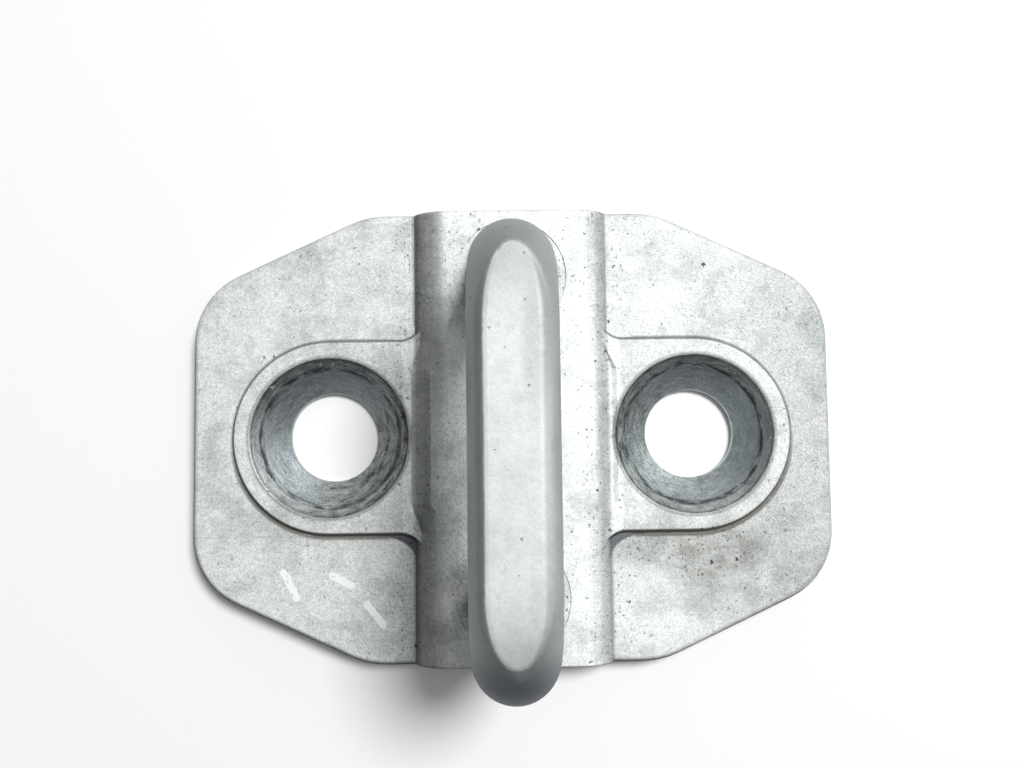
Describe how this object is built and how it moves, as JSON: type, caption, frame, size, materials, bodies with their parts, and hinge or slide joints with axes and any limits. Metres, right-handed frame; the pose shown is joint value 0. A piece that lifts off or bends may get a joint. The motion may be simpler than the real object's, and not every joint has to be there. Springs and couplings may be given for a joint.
{
  "type": "car door striker",
  "caption": "Car door striker: a coined steel base plate with countersunk screw pads and a raised channel, carrying a loop of bent round bar that the door latch grips.",
  "frame": {"origin": "on the back (mounting) face, midway between the two screw holes", "axes": "+X along the line of the screw holes, +Y along the loop's crossbar, +Z out of the mounting face towards the loop; the loop leans towards -Y"},
  "size_m": [0.0724, 0.051, 0.0313],
  "materials": {
    "zinc_plate": "dull zinc plating, mottled and lightly worn",
    "zinc_bar": "dull zinc plating, smooth and faintly spotted"
  },
  "bodies": {
    "root": {"base_plate": "zinc_plate", "striker_loop": "zinc_bar"}
  },
  "joints": []
}
